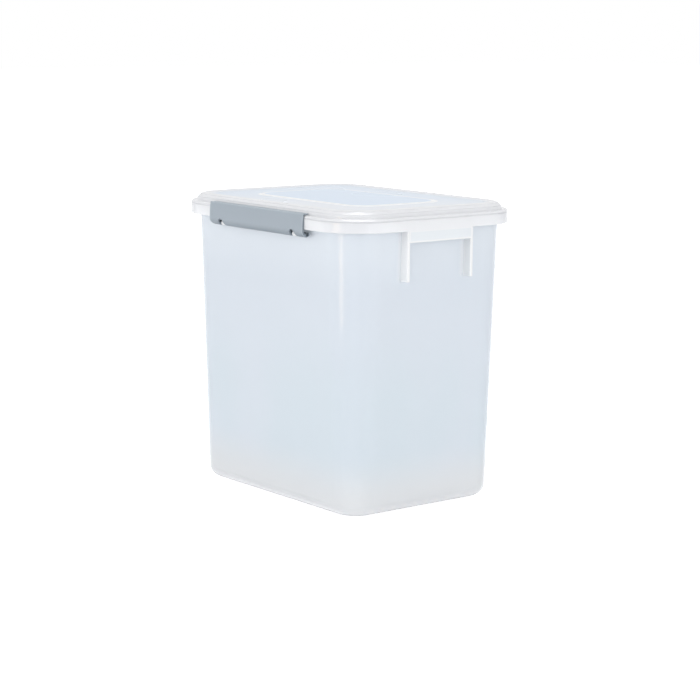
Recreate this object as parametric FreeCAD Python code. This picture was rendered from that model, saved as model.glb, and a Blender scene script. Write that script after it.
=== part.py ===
import FreeCAD, Part
import math
import os

from FreeCAD import Vector

# An upright airtight storage box of clear natural polypropylene: a drafted tub with an
# outward rim and two moulded hand grips, a lid with a raised seal channel, a soft seal,
# and two long grey clips that snap on to pins under the tub's rim and hook over the lid.
# Millimetres. X runs along the long side, Y across, Z up, the origin under the base.

# Overall sizes
overall_height = 345.0
rim_length = 340.0
clips_overall_width = 265.0
clip_stand_off = 2.6

# Tub
rim_overhang = 11.0
wall_draft_degrees = 1.83
base_corner_radius = 32.6
tub_wall = 2.0
floor_thickness = 3.0
base_edge_radius = 14.0
foot_band = 9.0
foot_recess_depth = 1.0

# Rim of the tub, with its turned-down skirt and the lip that enters the seal
lid_rise = 11.4
skirt_depth = 12.4
skirt_wall = 2.0
deck_thickness = 2.2
lip_height = 5.7
rim_edge_chamfer = 0.7

# Hand grips on the two short ends
grip_rib_spacing = 92.0
grip_rib_thickness = 3.8
grip_rib_depth = 56.2
grip_rib_setback = 0.5
grip_lip_depth = 12.9
grip_edge_radius = 0.6

# Lid
flange_height = 3.0
flange_edge_chamfer = 1.9
flange_foot_chamfer = 0.6
flange_relief_height = 1.6
ledge_width = 6.8
lid_wall = 2.0
shoulder_width = 10.0
shoulder_steps = 6
shoulder_groove_steps = (2, 4)
shoulder_groove_width = 0.9
shoulder_groove_depth = 0.45
crest_width = 3.4
crest_slope_width = 6.0
plate_drop = 1.5
plate_thickness = 2.0
channel_gap = 1.2
channel_width = 6.0
channel_roof = 3.6
plug_depth = 7.1
panel_length = 205.0
panel_width = 126.0
panel_corner_radius = 27.0
panel_rise = 0.7
panel_slope_width = 1.4

# Seal
seal_side_clearance = 0.3
seal_lobe_height = 0.5
seal_groove_clearance = 0.25

# Clips and their pins
clip_length = 180.0
clip_wall = 2.1
clip_bow = 1.4
clip_rise_over_ledge = 2.4
clip_top_radius = 0.6
clip_top_corner_radius = 1.0
clip_foot_corner_radius = 4.5
ridge_thickness = 1.6
hook_reach = 6.0
hook_thickness = 1.3
hook_rest_clearance = 0.3
hook_tip_clearance = 1.2
hook_tip_rise = 0.5
hook_tip_thickness = 1.3
hook_tip_radius = 0.4
curl_radius = 8.0
curl_drop = 9.2
bead_radius = 3.0
pin_radius = 1.6
pin_clearance = 0.1
pin_setback = 4.7
pin_reach = 7.0
snap_mouth_width = 2.7
lug_from_clip_end = 21.0
lug_thickness = 7.0
lug_chin = 3.0
lug_neck = 1.5
notch_clearance = 1.5
notch_top_gap = 0.7
notch_flare = 2.0

# One overrun for every cut, and the tolerance used to pick edges
overrun = 5.0
pick_tolerance = 0.01

# Worked out from the sizes above
wall_slope = math.tan(math.radians(wall_draft_degrees))
rim_width = clips_overall_width - 2 * clip_stand_off
parting_height = overall_height - lid_rise
wall_spread = parting_height * wall_slope
base_length = rim_length - 2 * (rim_overhang + wall_spread)
base_width = rim_width - 2 * (rim_overhang + wall_spread)
rim_corner_radius = base_corner_radius + wall_spread + rim_overhang
lip_top = parting_height + lip_height
skirt_bottom = parting_height - skirt_depth
deck_underside = parting_height - deck_thickness
ledge_top = parting_height + flange_height
plate_top = overall_height - plate_drop
channel_top = overall_height - channel_roof
channel_outer_inset = rim_overhang - lip_height * wall_slope - channel_gap
channel_inner_inset = channel_outer_inset + channel_width
clip_face = clips_overall_width / 2
clip_inner_face = clip_face - clip_wall
pin_y = -(rim_width / 2 - pin_setback)
clip_bottom = skirt_bottom - curl_drop
pin_z = clip_bottom + bead_radius
bore_radius = pin_radius + pin_clearance
lug_spacing = clip_length - 2 * lug_from_clip_end


def rounded_outline(half_length, half_width, radius, height):
    # A level rectangle with round corners, as one closed wire.
    x = half_length - radius
    y = half_width - radius
    corners = [(x, y, 0), (-x, y, 90), (-x, -y, 180), (x, -y, 270)]
    arcs = []
    for centre_x, centre_y, start in corners:
        points = []
        for turn in (0, 45, 90):
            angle = math.radians(start + turn)
            points.append(Vector(centre_x + radius * math.cos(angle),
                                 centre_y + radius * math.sin(angle), height))
        arcs.append(points)
    edges = []
    for index, points in enumerate(arcs):
        edges.append(Part.Arc(*points).toShape())
        following = arcs[(index + 1) % len(arcs)]
        edges.append(Part.LineSegment(points[-1], following[0]).toShape())
    return Part.Wire(edges)


def prism(outline, height):
    return Part.Face(outline).extrude(Vector(0, 0, height))


def rim_level(inset, height):
    # The rim's outline at a height, drawn in by an inset.
    return (rim_length / 2 - inset, rim_width / 2 - inset, rim_corner_radius - inset, height)


def wall_level(inset, height):
    # The tub's drafted wall at a height: length, width and corner radius all grow upwards.
    growth = height * wall_slope - inset
    return (base_length / 2 + growth, base_width / 2 + growth, base_corner_radius + growth, height)


def rim_prism(inset, bottom, top):
    return prism(rounded_outline(*rim_level(inset, bottom)), top - bottom)


def wall_prism(inset, bottom, top):
    return prism(rounded_outline(*wall_level(inset, bottom)), top - bottom)


def layered_body(levels):
    # A round-cornered block through level outlines, each (half length, half width, corner radius,
    # height), with the same corner centres: flat walls between conical corners.
    half_length, half_width, radius, height = levels[0]
    x = half_length - radius
    y = half_width - radius
    corners = [(x, y, 0), (-x, y, 90), (-x, -y, 180), (x, -y, 270)]
    up = Vector(0, 0, 1)
    faces = []
    for below, above in zip(levels, levels[1:]):
        sides = []
        for centre_x, centre_y, start in corners:
            ends = []
            for turn in (0, 90):
                angle = math.radians(start + turn)
                points = []
                for level in (below, above):
                    points.append(Vector(centre_x + level[2] * math.cos(angle),
                                         centre_y + level[2] * math.sin(angle), level[3]))
                ends.append(points)
            sides.append(ends)
            slant = Part.LineSegment(*ends[0]).toShape()
            faces.append(slant.revolve(Vector(centre_x, centre_y, 0), up, 90))
        for index, ends in enumerate(sides):
            low, high = ends[1]
            next_low, next_high = sides[(index + 1) % len(sides)][0]
            faces.append(Part.Face(Part.makePolygon([low, next_low, next_high, high, low])))
    faces.append(Part.Face(rounded_outline(*levels[0])))
    faces.append(Part.Face(rounded_outline(*levels[-1])))
    shell = Part.makeShell(faces)
    shell.sewShape()
    solid = Part.makeSolid(shell)
    if solid.Volume < 0:
        solid.reverse()
    return solid


def level_edges(shape, height):
    # The edges that lie in one level plane.
    found = []
    for edge in shape.Edges:
        box = edge.BoundBox
        if abs(box.ZMin - height) < pick_tolerance and abs(box.ZMax - height) < pick_tolerance:
            found.append(edge)
    return found


def wall_half_width(height):
    return base_width / 2 + height * wall_slope


def wall_half_length(height):
    return base_length / 2 + height * wall_slope


def eased(shape, radius, height, inward):
    # Rounds the level edges at a height with three flats that touch the radius. inward is 1 where
    # the shape lies above the edges and -1 where it lies below them.
    first = radius * (2 - math.sqrt(2))
    second = radius * (math.tan(math.radians(22.5)) - math.tan(math.radians(11.25)))
    shape = shape.makeChamfer(first, level_edges(shape, height))
    shape = shape.makeChamfer(second, level_edges(shape, height))
    edges = level_edges(shape, height + inward * first)
    return shape.makeChamfer(second, edges)


def drafted_body(inset, bottom, top):
    return layered_body([wall_level(inset, bottom), wall_level(inset, top)])


def side_profile(points, from_x, to_x):
    # A closed outline of (y, z) points, swept along X.
    corners = [Vector(from_x, y, z) for y, z in points]
    face = Part.Face(Part.makePolygon(corners + corners[:1]))
    return face.extrude(Vector(to_x - from_x, 0, 0))


def turned_half_way(shape):
    # The same moulding on the opposite side of the box.
    other = shape.copy()
    other.rotate(Vector(0, 0, 0), Vector(0, 0, 1), 180)
    return other


def rim_and_skirt():
    # The outward deck, turned down all round into a skirt, open underneath.
    rim = rim_prism(0, skirt_bottom, parting_height)
    edges = level_edges(rim, parting_height) + level_edges(rim, skirt_bottom)
    rim = rim.makeChamfer(rim_edge_chamfer, edges)
    return rim.cut(rim_prism(skirt_wall, skirt_bottom - overrun, deck_underside))


def hand_grip():
    # Two ribs stand out from the end wall, and the skirt drops between them as a finger lip.
    face_x = rim_length / 2
    rib_bottom = skirt_bottom - grip_rib_depth
    rib_end = face_x - grip_rib_setback
    rib_root = wall_half_length(rib_bottom) - tub_wall
    rib_height = parting_height - skirt_wall - rib_bottom
    pieces = []
    for side in (-1, 1):
        rib_side = side * grip_rib_spacing / 2 - grip_rib_thickness / 2
        rib = Part.makeBox(rib_end - rib_root, grip_rib_thickness, rib_height,
                           Vector(rib_root, rib_side, rib_bottom))
        shown = []
        for edge in rib.Edges:
            box = edge.BoundBox
            upright = box.ZLength > grip_rib_thickness
            lowest = box.ZMax < rib_bottom + pick_tolerance
            if box.XMin > rib_end - pick_tolerance and (upright or lowest):
                shown.append(edge)
        pieces.append(rib.makeFillet(grip_edge_radius, shown))
    lip_bottom = skirt_bottom - grip_lip_depth
    lip = Part.makeBox(skirt_wall, grip_rib_spacing, grip_lip_depth + rim_edge_chamfer * 2,
                       Vector(face_x - skirt_wall, -grip_rib_spacing / 2, lip_bottom))
    lip = lip.makeFillet(grip_edge_radius, level_edges(lip, lip_bottom))
    return pieces[0].fuse([pieces[1], lip])


def hinge_lug(x):
    # A neck that hangs from the deck and the wall, with a round chin that carries a short pin
    # standing out of both its sides.
    neck_front = pin_y - lug_neck
    root = -(wall_half_width(skirt_bottom) - tub_wall)
    deck_middle = deck_underside + deck_thickness / 2
    start_x = x - lug_thickness / 2
    along = Vector(1, 0, 0)
    points = [
        (neck_front, deck_middle),
        (neck_front, pin_z),
        (pin_y + lug_neck, pin_z - lug_chin + lug_neck / 2),
        (root, skirt_bottom),
        (root, deck_middle),
    ]
    lug = side_profile(points, start_x, start_x + lug_thickness)
    boss = Part.makeCylinder(lug_chin, lug_thickness, Vector(start_x, pin_y, pin_z), along)
    half_pin = lug_thickness / 2 + notch_clearance + pin_reach
    pin = Part.makeCylinder(pin_radius, 2 * half_pin, Vector(x - half_pin, pin_y, pin_z), along)
    return lug.fuse([boss, pin])


def make_tub():
    body = drafted_body(0, 0, lip_top)
    body = body.makeFillet(base_edge_radius, level_edges(body, 0))
    grip = hand_grip()
    lugs = [hinge_lug(-lug_spacing / 2), hinge_lug(lug_spacing / 2)]
    added = [rim_and_skirt(), grip, turned_half_way(grip)]
    added += lugs + [turned_half_way(lug) for lug in lugs]
    body = body.fuse(added)
    cavity = drafted_body(tub_wall, floor_thickness, lip_top + overrun)
    body = body.cut(eased(cavity, base_edge_radius - tub_wall, floor_thickness, 1))
    recess_inset = base_edge_radius + foot_band
    return body.cut(wall_prism(recess_inset, 0, foot_recess_depth)).removeSplitter()


def lid_shoulder():
    # The raised part's outer edge, rounded as a flat quarter ellipse all the way round, with two
    # fine grooves that part it into three bands.
    rise = overall_height - ledge_top
    levels = [rim_level(ledge_width, parting_height), rim_level(ledge_width, ledge_top)]
    for step in range(1, shoulder_steps + 1):
        angle = math.radians(90) * step / shoulder_steps
        inset = ledge_width + shoulder_width * (1 - math.cos(angle))
        height = ledge_top + rise * math.sin(angle)
        if step in shoulder_groove_steps:
            along_inset = math.sin(angle) * shoulder_groove_width / 2
            along_height = math.cos(angle) * shoulder_groove_width / 2
            levels.append(rim_level(inset - along_inset, height - along_height))
            levels.append(rim_level(inset + math.cos(angle) * shoulder_groove_depth,
                                    height - math.sin(angle) * shoulder_groove_depth))
            levels.append(rim_level(inset + along_inset, height + along_height))
        else:
            levels.append(rim_level(inset, height))
    return layered_body(levels)


def make_lid():
    # Flange, then the raised channel with its round shoulder, as the outside of the lid.
    flange = rim_prism(0, parting_height, ledge_top)
    flange = flange.makeChamfer(flange_edge_chamfer, level_edges(flange, ledge_top))
    flange = flange.makeChamfer(flange_foot_chamfer, level_edges(flange, parting_height))
    body = flange.fuse(lid_shoulder())
    plug = rim_prism(channel_inner_inset, parting_height - plug_depth, ledge_top)
    body = body.fuse(plug)

    # The field inside the crest slopes down to the plate.
    crest_inset = ledge_width + shoulder_width + crest_width
    field_inset = crest_inset + crest_slope_width
    field_growth = crest_slope_width * (plate_drop + overrun) / plate_drop
    field = layered_body([rim_level(field_inset, plate_top),
                          rim_level(field_inset - field_growth, overall_height + overrun)])
    body = body.cut(field)

    # Hollows underneath: inside the plug, and the channel that takes the seal and the tub's lip.
    inner = rim_prism(channel_inner_inset + lid_wall, parting_height - plug_depth - overrun,
                      plate_top - plate_thickness)
    channel = rim_prism(channel_outer_inset, parting_height - overrun, channel_top)
    core = rim_prism(channel_inner_inset, parting_height - 2 * overrun, channel_top + overrun)
    channel = channel.cut(core)
    relief_top = parting_height + flange_relief_height
    relief = rim_prism(skirt_wall + rim_edge_chamfer, parting_height - overrun, relief_top)
    relief = relief.cut(rim_prism(ledge_width, parting_height - 2 * overrun, ledge_top))
    body = body.cut(inner).cut(channel).cut(relief)

    # A low raised panel in the middle of the plate, with sloping edges.
    half_length = panel_length / 2
    half_width = panel_width / 2
    panel = layered_body([(half_length, half_width, panel_corner_radius, plate_top),
                          (half_length - panel_slope_width, half_width - panel_slope_width,
                           panel_corner_radius - panel_slope_width, plate_top + panel_rise)])
    hollow = panel.copy()
    hollow.translate(Vector(0, 0, -plate_thickness))
    return body.cut(hollow).fuse(panel).removeSplitter()


def make_seal():
    # A soft ring that fills the roof of the channel, grooved where the tub's lip presses.
    top = channel_top
    bottom = lip_top - seal_lobe_height
    ring = rim_prism(channel_outer_inset + seal_side_clearance, bottom, top)
    ring = ring.cut(rim_prism(channel_inner_inset - seal_side_clearance, bottom - overrun, top + overrun))
    groove = wall_prism(-seal_groove_clearance, bottom - overrun, lip_top)
    island = wall_prism(tub_wall + seal_groove_clearance, bottom - 2 * overrun, top)
    return ring.cut(groove.cut(island))


def clip_section():
    # The clip seen from its end: a ridge along the top, a thin hook with a raised tip just below
    # it, a slightly bowed wall, and the lower edge curled in under the rim.
    curl_y = -(clip_face - curl_radius)
    curl_z = clip_bottom + curl_radius
    inner_curl = curl_radius - clip_wall
    clip_top = ledge_top + clip_rise_over_ledge
    ridge_y = -(clip_face - clip_bow - ridge_thickness)
    tip_y = -(clip_inner_face - hook_reach)
    tip_bottom = ledge_top + hook_tip_clearance
    tip_plate_top = tip_bottom + hook_thickness - hook_tip_rise
    diagonal = math.sin(math.radians(45))
    face_height = clip_top - curl_z
    bow_share_half_way = 1 / 4

    outer_top = Vector(0, -clip_face + clip_bow, clip_top)
    outer_half = Vector(0, -clip_face + clip_bow * bow_share_half_way, curl_z + face_height / 2)
    outer_low = Vector(0, -clip_face, curl_z)
    outer_mid = Vector(0, curl_y - curl_radius * diagonal, curl_z - curl_radius * diagonal)
    outer_end = Vector(0, curl_y, clip_bottom)
    inner_end = Vector(0, curl_y, clip_bottom + clip_wall)
    inner_mid = Vector(0, curl_y - inner_curl * diagonal, curl_z - inner_curl * diagonal)
    inner_low = Vector(0, -clip_inner_face, curl_z)
    under_root = Vector(0, -clip_inner_face, ledge_top + hook_rest_clearance)
    under_tip = Vector(0, tip_y, tip_bottom)
    tip_top = Vector(0, tip_y, tip_bottom + hook_thickness)
    tip_back = Vector(0, tip_y - hook_tip_thickness, tip_bottom + hook_thickness)
    tip_foot = Vector(0, tip_y - hook_tip_thickness - hook_tip_rise, tip_plate_top)
    ridge_foot = Vector(0, ridge_y, ledge_top + hook_rest_clearance + hook_thickness)
    ridge_top = Vector(0, ridge_y, clip_top)

    edges = [
        Part.Arc(outer_top, outer_half, outer_low).toShape(),
        Part.Arc(outer_low, outer_mid, outer_end).toShape(),
        Part.LineSegment(outer_end, inner_end).toShape(),
        Part.Arc(inner_end, inner_mid, inner_low).toShape(),
        Part.LineSegment(inner_low, under_root).toShape(),
        Part.LineSegment(under_root, under_tip).toShape(),
        Part.LineSegment(under_tip, tip_top).toShape(),
        Part.LineSegment(tip_top, tip_back).toShape(),
        Part.LineSegment(tip_back, tip_foot).toShape(),
        Part.LineSegment(tip_foot, ridge_foot).toShape(),
        Part.LineSegment(ridge_foot, ridge_top).toShape(),
        Part.LineSegment(ridge_top, outer_top).toShape(),
    ]
    return Part.Face(Part.Wire(edges))


def long_edges_at(shape, y, z):
    # The edges along X that pass through one point of the end view.
    found = []
    for edge in shape.Edges:
        box = edge.BoundBox
        level = abs(box.YMin - y) < pick_tolerance and abs(box.YMax - y) < pick_tolerance
        if level and abs(box.ZMin - z) < pick_tolerance and abs(box.ZMax - z) < pick_tolerance:
            found.append(edge)
    return found


def make_front_clip():
    clip_top = ledge_top + clip_rise_over_ledge
    ridge_y = -(clip_face - clip_bow - ridge_thickness)
    tip_y = -(clip_inner_face - hook_reach)
    tip_bottom = ledge_top + hook_tip_clearance
    half = clip_length / 2
    body = clip_section().extrude(Vector(clip_length, 0, 0))
    body.translate(Vector(-half, 0, 0))
    ridge_edges = long_edges_at(body, -clip_face + clip_bow, clip_top)
    ridge_edges += long_edges_at(body, ridge_y, clip_top)
    body = body.makeFillet(clip_top_radius, ridge_edges)
    tip_edges = long_edges_at(body, tip_y, tip_bottom + hook_thickness)
    tip_edges += long_edges_at(body, tip_y, tip_bottom)
    body = body.makeFillet(hook_tip_radius, tip_edges)

    # Snap channel round the pins, with its mouth upwards.
    along = Vector(1, 0, 0)
    bead = Part.makeCylinder(bead_radius, clip_length, Vector(-half, pin_y, pin_z), along)
    bore_start = Vector(-half - overrun, pin_y, pin_z)
    bore = Part.makeCylinder(bore_radius, clip_length + 2 * overrun, bore_start, along)
    mouth = Part.makeBox(clip_length + 2 * overrun, snap_mouth_width, bead_radius,
                         Vector(-half - overrun, pin_y - snap_mouth_width / 2, pin_z))
    body = body.fuse(bead).cut(bore).cut(mouth)

    # Notches that clear the tub's lugs, round at the top and flared at the clip's lower edge.
    notch_width = lug_thickness + 2 * notch_clearance
    notch_radius = notch_width / 2
    arch_height = skirt_bottom - notch_top_gap - notch_radius
    cut_depth = curl_radius + overrun
    cut_y = -clip_face - overrun / 2
    for side in (-1, 1):
        x = side * lug_spacing / 2
        low = Part.makeBox(notch_width, cut_depth, arch_height - clip_bottom + overrun,
                           Vector(x - notch_radius, cut_y, clip_bottom - overrun))
        arch = Part.makeCylinder(notch_radius, cut_depth, Vector(x, cut_y, arch_height), Vector(0, 1, 0))
        flare_half = notch_radius + notch_flare
        flare = Part.makePolygon([
            Vector(x - flare_half, cut_y, clip_bottom),
            Vector(x + flare_half, cut_y, clip_bottom),
            Vector(x, cut_y, clip_bottom + flare_half),
            Vector(x - flare_half, cut_y, clip_bottom)])
        flare = Part.Face(flare).extrude(Vector(0, cut_depth, 0))
        body = body.cut(low).cut(arch).cut(flare)

    # Round the four corners of the face: small at the top, large at the foot.
    y_depth = hook_reach + clip_wall + 2 * overrun
    mask = Part.makeBox(clip_length, y_depth, clip_top - clip_bottom,
                        Vector(-half, -clip_face - overrun, clip_bottom))
    for height, radius in ((clip_top, clip_top_corner_radius), (clip_bottom, clip_foot_corner_radius)):
        corners = []
        for edge in level_edges(mask, height):
            if edge.BoundBox.YLength > clip_wall:
                corners.append(edge)
        mask = mask.makeFillet(radius, corners)
    return body.common(mask).removeSplitter()


def main():
    front_clip = make_front_clip()
    pieces = {
        "tub": make_tub(),
        "lid": make_lid(),
        "lid_seal": make_seal(),
        "front_clip": front_clip,
        "rear_clip": turned_half_way(front_clip),
    }
    os.makedirs("parts", exist_ok=True)
    for name, shape in pieces.items():
        print(name, "solids", len(shape.Solids), "valid", shape.isValid(), "mm3", round(shape.Volume))
        if len(shape.Solids) == 1:
            shape = shape.Solids[0]
        shape.exportStep("parts/" + name + ".step")


main()
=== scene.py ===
import math

import bpy
from mathutils import Matrix, Vector

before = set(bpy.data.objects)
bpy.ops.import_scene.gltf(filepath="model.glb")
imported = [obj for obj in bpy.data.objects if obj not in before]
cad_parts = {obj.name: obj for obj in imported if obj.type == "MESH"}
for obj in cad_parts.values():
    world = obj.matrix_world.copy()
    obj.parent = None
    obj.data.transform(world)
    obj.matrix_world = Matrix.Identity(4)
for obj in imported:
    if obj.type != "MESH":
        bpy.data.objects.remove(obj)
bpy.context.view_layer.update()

# The photographer's camera. It stands a little above the lid, in line with neither side of
# the box, so that the long side with its clip and the short side with its grip both show.
camera_azimuth = math.radians(51.83)
camera_elevation = math.radians(9.48)
camera_roll = math.radians(0.42)
camera_distance = 2.4047
camera_target = Vector((0, 0, 0.16307))
sensor_width = 36.0
lens_length = 104.28
shift_right = 0.00626
shift_up = -0.00097

back = Vector((math.sin(camera_azimuth) * math.cos(camera_elevation),
               -math.cos(camera_azimuth) * math.cos(camera_elevation),
               math.sin(camera_elevation)))
level_right = Vector((math.cos(camera_azimuth), math.sin(camera_azimuth), 0))
level_up = back.cross(level_right)
right = level_right * math.cos(camera_roll) + level_up * math.sin(camera_roll)
up = level_up * math.cos(camera_roll) - level_right * math.sin(camera_roll)

camera_data = bpy.data.cameras.new("camera")
camera_data.sensor_width = sensor_width
camera_data.lens = lens_length
camera_data.shift_x = shift_right
camera_data.shift_y = shift_up
camera = bpy.data.objects.new("camera", camera_data)
camera.matrix_world = (Matrix.Translation(camera_target + back * camera_distance)
                       @ Matrix((right, up, back)).transposed().to_4x4())
bpy.context.scene.collection.objects.link(camera)
bpy.context.scene.camera = camera
bpy.context.scene.view_settings.view_transform = "Standard"

# The tub: one injection moulding in natural polypropylene, 2 mm thick. Its drafted walls have
# a fine matt texture, look blue where one wall stands before the dim inside, and look milky
# where the plastic is doubled or thick, as at the skirt, the grips and the lugs. They are greyer
# near the base. Painted light pales them under the rim, beside the grips' ribs and along the
# rolled base edge, and painted shade darkens the upright corners.
wall_draft = math.radians(1.83)
wall_slope = math.tan(wall_draft)
base_corner_radius = 0.0326
corner_centre_x = 0.11574
corner_centre_y = 0.07564
corner_reach = 0.022
raised_start = 0.0005
raised_full = 0.0016
raised_root_end = 0.0032
skirt_bottom = 0.3212
grip_front = 0.1700
grip_lip_bottom = 0.3083
grip_rib_inside = 0.0435
grip_rib_outside = 0.0473


def colour(red, green, blue):
    # A colour read off a screen, 0 to 255, as the light it stands for.
    values = []
    for level in (red, green, blue):
        share = level / 255
        values.append(share / 12.92 if share <= 0.04045 else ((share + 0.055) / 1.055) ** 2.4)
    return (*values, 1.0)


wall_blue = colour(230, 237, 245)
wall_green_blue = colour(226, 236, 243)
green_patch_start = 0.35
green_patch_end = 0.65
green_zone_low = 0.12
green_zone_high = 0.24
wall_lilac = colour(230, 235, 245)
lilac_patch_start = 0.62
lilac_patch_end = 0.75
lilac_share = 0.6
# Painted light: the walls are paler under the rim, against the shade the rim casts.
under_rim_painted_light = colour(243, 249, 255)
under_rim_low = 0.25
under_rim_high = 0.321
under_rim_light_share = 0.8
# Painted shade: the upright corners are darker and bluer.
corner_painted_shade = colour(212, 220, 230)
corner_shade_share = 0.22
base_grey = colour(237, 239, 241)
base_zone_low = 0.012
base_zone_high = 0.075
# Painted light: white along the rolled base edge, which turns down away from the lamps.
rolled_edge_painted_light = colour(248, 249, 251)
rolled_edge_low = 0.004
rolled_edge_high = 0.014
# Painted light: the wall is paler beside the grips' ribs, against the shade they cast.
rib_side_painted_light = colour(250, 253, 255)
rib_side_reach = 0.008
rib_side_low = 0.262
rib_side_high = 0.270
rib_side_light_share = 0.7
milky_white = colour(249, 250, 252)
# Painted shade: the skirt is darker round the corners.
skirt_corner_painted_shade = colour(239, 240, 243)
lip_blue = colour(243, 247, 250)
edge_white = colour(254, 254, 254)
edge_line_width = 0.0012
edge_line_fade = 0.0024
# The roots of ribs and lugs are whiter: partly thick plastic, partly painted light over their shade.
root_light_share = 0.9
rib_white_share = 0.8
plastic_ior = 1.49
plastic_gloss = 0.05
skin_gloss = 0.3
skin_roughness = 0.07
tub_alpha = 0.78
tub_roughness = 0.22
flow_patch_scale = 7.0
flow_patch_detail = 2.0
flow_stretch_share = 0.45
flow_roughness = 0.05
grain_scale = 1800.0
grain_detail = 1.0
grain_depth = 0.00006
grain_strength = 0.2


class Wire:
    # One output of a node in a material. Sums written with wires add Math nodes.
    def __init__(self, tree, socket=None):
        self.tree = tree
        self.socket = socket

    def add(self, kind, settings, inputs, output=0):
        # Any node: its settings first, then the values or wires of its sockets.
        node = self.tree.nodes.new(kind)
        for name, value in settings.items():
            setattr(node, name, value)
        for name, value in inputs.items():
            socket = next(each for each in node.inputs if each.identifier == name)
            if isinstance(value, Wire):
                self.tree.links.new(value.socket, socket)
            else:
                socket.default_value = value
        return Wire(self.tree, node.outputs[output] if node.outputs else None)

    def math(self, operation, *values):
        names = ("Value", "Value_001")
        return self.add("ShaderNodeMath", {"operation": operation}, dict(zip(names, values)))

    def __add__(self, other):
        return self.math("ADD", self, other)

    def __radd__(self, other):
        return self.math("ADD", other, self)

    def __sub__(self, other):
        return self.math("SUBTRACT", self, other)

    def __rsub__(self, other):
        return self.math("SUBTRACT", other, self)

    def __mul__(self, other):
        return self.math("MULTIPLY", self, other)

    def __rmul__(self, other):
        return self.math("MULTIPLY", other, self)

    def __abs__(self):
        return self.math("ABSOLUTE", self)

    def root(self):
        return self.math("SQRT", self)

    def clear_of(self, other):
        # The larger of the two.
        return self.math("MAXIMUM", self, other)

    def within(self, other):
        # The smaller of the two.
        return self.math("MINIMUM", self, other)

    def rising(self, start, end):
        # 0 below start, 1 above end, smooth between them.
        settings = {"interpolation_type": "SMOOTHSTEP"}
        inputs = {"Value": self, "From Min": start, "From Max": end}
        return self.add("ShaderNodeMapRange", settings, inputs)

    def blend(self, first, second):
        # The first colour where this wire is 0 and the second where it is 1.
        inputs = {"Factor_Float": self, "A_Color": first, "B_Color": second}
        return self.add("ShaderNodeMix", {"data_type": "RGBA"}, inputs, 2)

    def noise(self, scale, detail):
        # Soft random patches, 0 to 1, for a wire that holds a position.
        inputs = {"Vector": self, "Scale": scale, "Detail": detail}
        return self.add("ShaderNodeTexNoise", {}, inputs)

    def stretched(self, x_share, y_share, z_share):
        inputs = {"Vector": self, "Scale": (x_share, y_share, z_share)}
        return self.add("ShaderNodeMapping", {}, inputs)

    def bump(self, strength, depth):
        inputs = {"Strength": strength, "Distance": depth, "Height": self}
        return self.add("ShaderNodeBump", {}, inputs)

    def parts(self):
        # The x, y and z of a wire that holds a position.
        split = self.add("ShaderNodeSeparateXYZ", {}, {"Vector": self})
        return [Wire(self.tree, socket) for socket in split.socket.node.outputs]


def new_finish(name):
    # An empty material, and a wire that holds the place on the moulding that it colours.
    finish = bpy.data.materials.new(name)
    finish.use_nodes = True
    finish.node_tree.nodes.clear()
    start = Wire(finish.node_tree)
    return finish, start.add("ShaderNodeTexCoord", {}, {}, "Object")


def close_finish(place, shader):
    place.add("ShaderNodeOutputMaterial", {"is_active_output": True}, {"Surface": shader})


def put_on(node, finish):
    # The CAD moulding keeps its shape and takes this finish all over.
    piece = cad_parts[node]
    piece.data.materials.clear()
    piece.data.materials.append(finish)


def beyond_outline(x, y, centre_x, centre_y, radius):
    # How far a point lies outside a level outline with round corners, less than 0 inside it.
    over_x = abs(x) - centre_x
    over_y = abs(y) - centre_y
    out_x = over_x.clear_of(0)
    out_y = over_y.clear_of(0)
    round_part = (out_x * out_x + out_y * out_y).root()
    flat_part = over_x.clear_of(over_y).within(0)
    return round_part + flat_part - radius


def line_at(distance, width):
    # 1 where a distance is 0, falling to 0 at this width on either side.
    return 1 - abs(distance).rising(width / 2, width)


def wall_colour(place, patches, corner):
    # Faint flow patches, painted light under the rim and beside the grips' ribs, painted shade
    # round the upright corners, greyer near the base and painted light along its rolled edge.
    x, y, z = place.parts()
    low_down = 1 - z.rising(green_zone_low, green_zone_high)
    green = patches.rising(green_patch_start, green_patch_end) * low_down
    lilac = patches.rising(lilac_patch_start, lilac_patch_end) * lilac_share
    wall = lilac.blend(green.blend(wall_blue, wall_green_blue), wall_lilac)
    # Painted light under the rim.
    rim_painted_light = z.rising(under_rim_low, under_rim_high) * under_rim_light_share
    wall = rim_painted_light.blend(wall, under_rim_painted_light)
    # Painted shade round the upright corners.
    wall = (corner * corner_shade_share).blend(wall, corner_painted_shade)
    wall = (1 - z.rising(base_zone_low, base_zone_high)).blend(wall, base_grey)
    # Painted light along the rolled base edge.
    wall = (1 - z.rising(rolled_edge_low, rolled_edge_high)).blend(wall, rolled_edge_painted_light)
    # Painted light on the wall beside the grips' ribs.
    past_inside = (abs(y) - grip_rib_inside).rising(-rib_side_reach, 0)
    past_outside = (abs(y) - grip_rib_outside).rising(0, rib_side_reach)
    on_short_end = abs(x).rising(corner_centre_x, corner_centre_x + rib_side_reach)
    rib_side_painted = past_inside * (1 - past_outside) * z.rising(rib_side_low, rib_side_high)
    return (rib_side_painted * on_short_end * rib_side_light_share).blend(wall, rib_side_painted_light)


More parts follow.
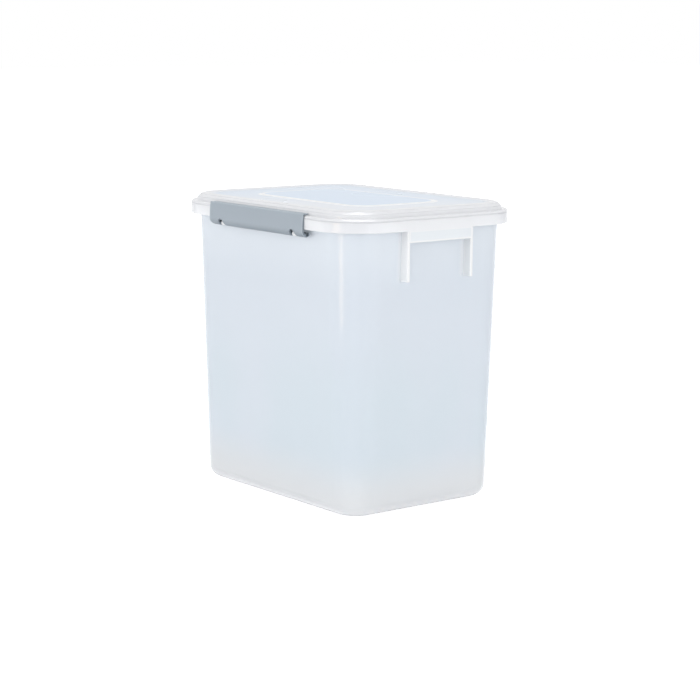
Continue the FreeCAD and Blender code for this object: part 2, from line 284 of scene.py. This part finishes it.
def raised_colour(place, beyond, corner):
    # The skirt, milky all over and painted darker round the corners as painted shade, and below it
    # the grips and lugs, whiter at folds and edges and at their roots, the roots partly painted light.
    x, y, z = place.parts()
    skirt = z.rising(skirt_bottom - edge_line_width, skirt_bottom)
    fold_line = line_at(z - skirt_bottom, edge_line_width)
    lip_foot = 1 - (z - grip_lip_bottom).rising(edge_line_width, edge_line_fade)
    lip_front = abs(x).rising(grip_front - edge_line_fade, grip_front - edge_line_width)
    # Whiter roots, partly painted light over the shade where they meet the wall.
    root_light_line = (1 - beyond.rising(raised_full, raised_root_end)) * root_light_share
    ribs = abs(y).rising(grip_rib_inside, grip_rib_inside + edge_line_width) * rib_white_share
    white_lines = fold_line.clear_of(lip_foot * lip_front).clear_of(root_light_line).clear_of(ribs)
    grip = white_lines.blend(lip_blue, edge_white)
    # Painted shade on the skirt round the corners.
    return skirt.blend(grip, corner.blend(milky_white, skirt_corner_painted_shade))


def frosted_plastic(base, roughness, alpha, bump):
    # Natural polypropylene, matt under the thin shiny skin that a smooth mould leaves.
    return base.add("ShaderNodeBsdfPrincipled", {}, {
        "Base Color": base, "Roughness": roughness, "IOR": plastic_ior,
        "Specular IOR Level": plastic_gloss, "Coat Weight": skin_gloss,
        "Coat Roughness": skin_roughness, "Alpha": alpha, "Normal": bump})


def make_tub_finish():
    finish, place = new_finish("frosted_clear_wall")
    x, y, z = place.parts()
    patches = place.stretched(1, 1, flow_stretch_share).noise(flow_patch_scale, flow_patch_detail)
    wall_radius = z * wall_slope + base_corner_radius
    beyond = beyond_outline(x, y, corner_centre_x, corner_centre_y, wall_radius)
    round_corner = (abs(x) - corner_centre_x).within(abs(y) - corner_centre_y)
    corner = round_corner.rising(0, corner_reach)
    raised = beyond.rising(raised_start, raised_full)
    base = raised.blend(wall_colour(place, patches, corner), raised_colour(place, beyond, corner))
    roughness = patches * flow_roughness + tub_roughness
    bump = place.noise(grain_scale, grain_detail).bump(grain_strength, grain_depth)
    close_finish(place, frosted_plastic(base, roughness, tub_alpha, bump))
    return finish


put_on("tub", make_tub_finish())

# The lid: one moulding in the same plastic. Its edge, raised channel and crest are doubled
# over the seal and look milky. The plate inside them is single and takes the blue of the
# inside, a little milky outside the panel and paler towards one corner with painted light,
# and a painted highlight line marks the slope of its raised panel.
rim_half_length = 0.170
rim_half_width = 0.1299
rim_corner_radius = 0.0542
band_outer = 0.020
band_inner = 0.036
panel_half_length = 0.1025
panel_half_width = 0.063
panel_corner_radius = 0.027
panel_slope_width = 0.0014
panel_highlight_width = 0.0052
plate_blue = colour(204, 220, 238)
lid_milky = colour(227, 228, 231)
# Painted highlight along the slope of the raised panel.
panel_painted_highlight = colour(240, 241, 243)
# The plate outside the panel is a little milky, and painted light makes it paler towards the corner
# between the front clip and the right grip.
blue_side_milky_share = 0.22
painted_light_side_share = 0.72
blue_side_place = -0.08
painted_light_side_place = 0.16
lid_alpha = 0.94
lid_roughness = 0.24
lid_flow_roughness = 0.08


def make_lid_finish():
    finish, place = new_finish("frosted_lid")
    x, y = place.parts()[:2]
    patches = place.noise(flow_patch_scale, flow_patch_detail)
    beyond_rim = beyond_outline(x, y, rim_half_length - rim_corner_radius,
                                rim_half_width - rim_corner_radius, rim_corner_radius)
    beyond_panel = beyond_outline(x, y, panel_half_length - panel_corner_radius,
                                  panel_half_width - panel_corner_radius, panel_corner_radius)
    band = beyond_rim.rising(-band_inner, -band_outer)
    # Painted light: paler towards the corner between the front clip and the right grip.
    painted_light_side = (x - y).rising(blue_side_place, painted_light_side_place)
    milk_and_light_share = painted_light_side * (painted_light_side_share - blue_side_milky_share) + blue_side_milky_share
    milky_and_lit_plate = beyond_panel.rising(0, panel_slope_width) * milk_and_light_share
    # Painted highlight: a pale line along the panel's slope.
    panel_highlight_line = line_at(beyond_panel + panel_slope_width / 2, panel_highlight_width)
    plate = band.clear_of(milky_and_lit_plate).blend(plate_blue, lid_milky)
    base = panel_highlight_line.blend(plate, panel_painted_highlight)
    roughness = patches * lid_flow_roughness + lid_roughness
    bump = place.noise(grain_scale, grain_detail).bump(grain_strength, grain_depth)
    close_finish(place, frosted_plastic(base, roughness, lid_alpha, bump))
    return finish


put_on("lid", make_lid_finish())

# The seal: one soft white silicone ring, moulded by itself and pressed up into the lid's
# channel, where it meets the lip round the top of the tub.
seal_white = colour(236, 238, 240)
seal_shade = colour(224, 227, 231)
seal_patch_scale = 60.0
seal_patch_detail = 2.0
seal_patch_roughness = 0.1
seal_roughness = 0.55
seal_grain_scale = 900.0
seal_grain_detail = 2.0
seal_grain_strength = 0.2
seal_grain_depth = 0.0001


def make_seal_finish():
    finish, place = new_finish("seal_rubber")
    patches = place.noise(seal_patch_scale, seal_patch_detail)
    base = patches.blend(seal_shade, seal_white)
    roughness = patches * seal_patch_roughness + seal_roughness
    grain = place.noise(seal_grain_scale, seal_grain_detail)
    shader = place.add("ShaderNodeBsdfPrincipled", {}, {
        "Base Color": base, "Roughness": roughness,
        "Normal": grain.bump(seal_grain_strength, seal_grain_depth)})
    close_finish(place, shader)
    return finish


put_on("lid_seal", make_seal_finish())

# The two clips: blue-grey polypropylene with a fine satin texture, moulded with a hook along
# the top and a snap channel along the bottom that turns on the tub's pins. The outer face is
# paler than the cut ends and the insides, which stand in shade and are painted darker as
# painted shade, and the face is painted darker low down where it curls under: painted shade.
clip_half_length = 0.090
hook_top = 0.3388
hook_face_fade = 0.0006
face_bow_radius = 0.1289
face_bow_share = 1 / (2 * face_bow_radius)
curl_radius = 0.008
curl_centre_out = 0.1245
curl_centre_height = 0.320
skin_depth = 0.0009
skin_half_depth = 0.00045
cut_end_start = 0.000225
cut_end_full = 0.0001125
end_edge_width = 0.0027
clip_grey = colour(154, 164, 173)
clip_light_grey = colour(158, 168, 177)
clip_edge_grey = colour(172, 182, 190)
clip_edge_share = 0.5
clip_inner_grey = colour(126, 136, 145)
# Painted shade: the clip's face is darker low down, where it curls under.
clip_foot_painted_shade = colour(124, 134, 143)
clip_foot_low = 0.313
clip_foot_high = 0.321
clip_patch_scale = 30.0
clip_patch_detail = 2.0
clip_stretch_share = 0.3
clip_patch_roughness = 0.1
clip_roughness = 0.42
clip_grain_scale = 2200.0
clip_grain_strength = 0.35


def clip_skin_depth(y, z):
    # How deep a point lies under the clip's outer face, which bows in above the curl's
    # centre and turns in round it below.
    below = (curl_centre_height - z).clear_of(0)
    above = (z - curl_centre_height).clear_of(0)
    outward = abs(y) - curl_centre_out
    return curl_radius - (outward * outward + below * below).root() - above * above * face_bow_share


def make_clip_finish():
    finish, place = new_finish("grey_clip")
    x, y, z = place.parts()
    patches = place.stretched(clip_stretch_share, 1, 1).noise(clip_patch_scale, clip_patch_detail)
    hook_face = z.rising(hook_top - skin_depth - hook_face_fade, hook_top - skin_depth)
    inside = clip_skin_depth(y, z).rising(skin_half_depth, skin_depth) * (1 - hook_face)
    cut_ends = abs(x).rising(clip_half_length - cut_end_start, clip_half_length - cut_end_full)
    near_ends = abs(x).rising(clip_half_length - end_edge_width, clip_half_length - skin_depth)
    face = patches.blend(clip_grey, clip_light_grey)
    # Painted shade on the face low down at the curl.
    face = z.rising(clip_foot_low, clip_foot_high).blend(clip_foot_painted_shade, face)
    face = (near_ends.clear_of(hook_face) * clip_edge_share).blend(face, clip_edge_grey)
    base = inside.clear_of(cut_ends).blend(face, clip_inner_grey)
    roughness = patches * clip_patch_roughness + clip_roughness
    grain = place.noise(clip_grain_scale, grain_detail)
    shader = place.add("ShaderNodeBsdfPrincipled", {}, {
        "Base Color": base, "Roughness": roughness, "IOR": plastic_ior,
        "Normal": grain.bump(clip_grain_strength, grain_depth)})
    close_finish(place, shader)
    return finish


clip_finish = make_clip_finish()
put_on("front_clip", clip_finish)
put_on("rear_clip", clip_finish)

# The studio: a wide white sheet to stand on and a white room. Five soft lamps light the box
# from all round and don't show in it. Three more show only in the plastic's shiny skin: one
# draws the bright line down the near corner, one lies on the short end, one on the lid.
floor_size = 30.0
floor_white = colour(243, 244, 246)
floor_lift = 0.75
pure_white = colour(255, 255, 255)
world_strength = 0.66
box_middle = (0, 0, 0.17)
soft_lamp_width = 2.0
white_light = (1.0, 1.0, 1.0)
warm_light = (1.0, 0.72, 0.42)

soft_lamps = {
    "front_lamp": {"place": (-0.45, -2.6, 0.6), "height": 1.2, "power": 12.5},
    "side_lamp": {"place": (2.6, 0.0, 0.6), "height": 1.2, "power": 13.5},
    "fill_lamp": {"place": (1.3, -2.25, 0.45), "height": 0.8, "power": 7.0},
    "back_lamp": {"place": (-1.6, 2.3, 0.6), "height": 1.2, "power": 10.0},
    "top_lamp": {"place": (0.1, 0.1, 2.5), "height": 2.0, "power": 20.0}}

reflection_lamps = {
    "strip_reflection": {
        "place": (0.155, -1.113, 0.42), "target": (0.155, -0.1, 0.42),
        "width": 0.26, "height": 0.84, "power": 5.5, "light": warm_light},
    "side_reflection": {
        "place": (1.37, -0.08, 0.45), "target": (0.1, -0.08, 0.45),
        "width": 0.75, "height": 0.7, "power": 6.0, "light": white_light},
    "ceiling_reflection": {
        "place": (0.1, -0.05, 2.5), "target": (0.1, -0.05, 0.3),
        "width": 1.3, "height": 1.3, "power": 50.0, "light": white_light}}


def seen_directly(start):
    # 1 for the camera's own rays and for what plastic mirrors or lets through, else 0.
    seen = start.add("ShaderNodeLightPath", {}, {}, "Is Camera Ray")
    glossy = Wire(start.tree, seen.socket.node.outputs["Is Glossy Ray"])
    passed = Wire(start.tree, seen.socket.node.outputs["Is Transmission Ray"])
    return seen.clear_of(glossy).clear_of(passed)


def make_floor():
    half = floor_size / 2
    corners = [(-half, -half, 0), (half, -half, 0), (half, half, 0), (-half, half, 0)]
    mesh = bpy.data.meshes.new("floor")
    mesh.from_pydata(corners, [], [(0, 1, 2, 3)])
    floor = bpy.data.objects.new("floor", mesh)
    bpy.context.scene.collection.objects.link(floor)
    finish, place = new_finish("studio_sheet")
    lift = seen_directly(place) * floor_lift
    matt = place.add("ShaderNodeBsdfDiffuse", {}, {"Color": floor_white})
    glow = place.add("ShaderNodeEmission", {}, {"Color": pure_white, "Strength": lift})
    both = place.add("ShaderNodeAddShader", {}, {"Shader": matt, "Shader_001": glow})
    close_finish(place, both)
    mesh.materials.append(finish)


def make_world():
    world = bpy.data.worlds.new("studio")
    bpy.context.scene.world = world
    world.use_nodes = True
    world.node_tree.nodes.clear()
    start = Wire(world.node_tree)
    strength = seen_directly(start) * (1 - world_strength) + world_strength
    glow = start.add("ShaderNodeBackground", {}, {"Color": pure_white, "Strength": strength})
    start.add("ShaderNodeOutputWorld", {"is_active_output": True}, {"Surface": glow})


def add_lamp(name, place, target, width, height, power, light):
    lamp = bpy.data.lights.new(name, "AREA")
    lamp.shape = "RECTANGLE"
    lamp.size = width
    lamp.size_y = height
    lamp.energy = power
    lamp.color = light
    stand = bpy.data.objects.new(name, lamp)
    aim = Vector(target) - Vector(place)
    turn = aim.to_track_quat("-Z", "Y").to_matrix().to_4x4()
    stand.matrix_world = Matrix.Translation(place) @ turn
    bpy.context.scene.collection.objects.link(stand)
    return stand


make_floor()
make_world()
for name, setting in soft_lamps.items():
    soft_lamp = add_lamp(name, target=box_middle, width=soft_lamp_width, light=white_light, **setting)
    soft_lamp.visible_glossy = False
for name, setting in reflection_lamps.items():
    reflection_lamp = add_lamp(name, **setting)
    reflection_lamp.visible_diffuse = False
